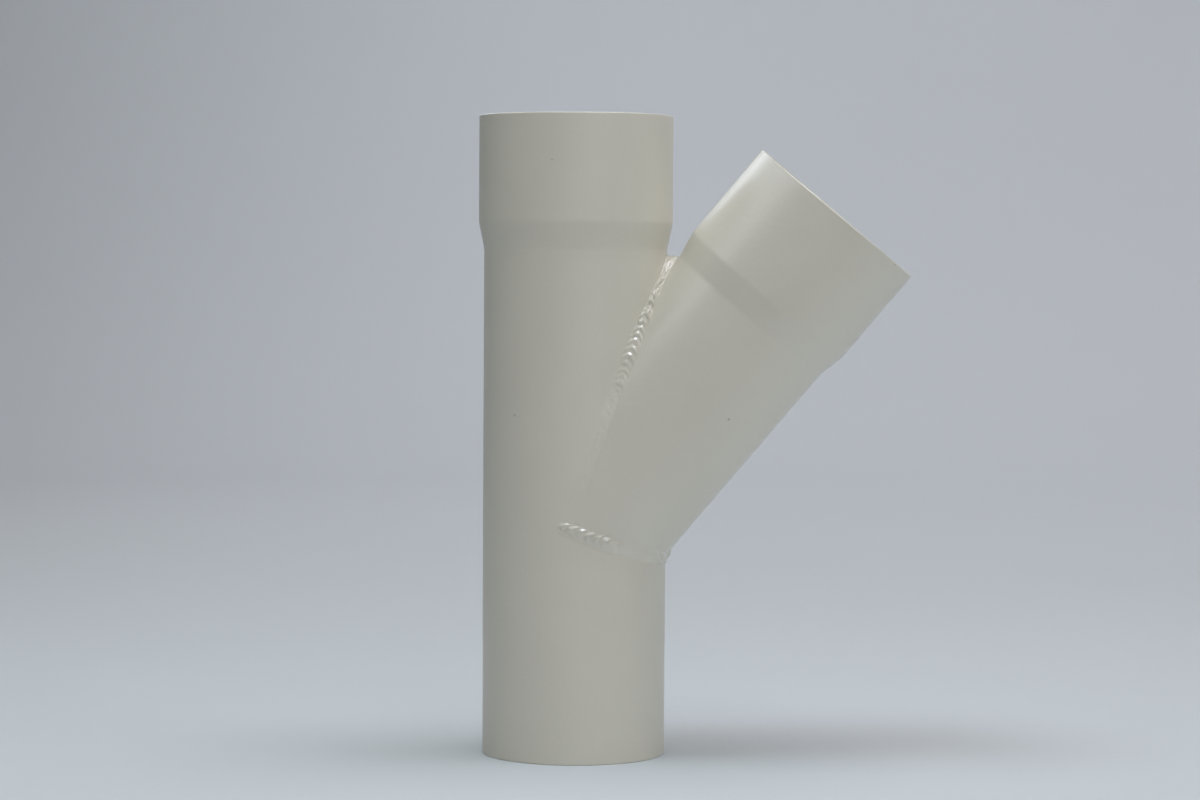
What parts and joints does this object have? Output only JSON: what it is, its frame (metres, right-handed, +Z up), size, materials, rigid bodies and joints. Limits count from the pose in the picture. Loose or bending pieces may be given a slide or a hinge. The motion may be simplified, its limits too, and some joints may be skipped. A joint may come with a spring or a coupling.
{
  "type": "lateral wye fitting",
  "caption": "Welded lateral wye for round pipe: a straight tube with a slanted branch, a swaged socket on each upper end and a plain spigot below.",
  "frame": {"origin": "centre of the spigot's open end, on the straight tube's axis", "axes": "+Z up the straight tube, towards its socket; +X the side that the branch leans to; +Y square to both axes"},
  "size_m": [0.1787, 0.0804, 0.2645],
  "materials": {
    "coating": "satin",
    "coated_weld": "satin"
  },
  "bodies": {
    "root": {"run_pipe": "coating", "branch_pipe": "coating", "weld_bead": "coated_weld"}
  },
  "joints": []
}
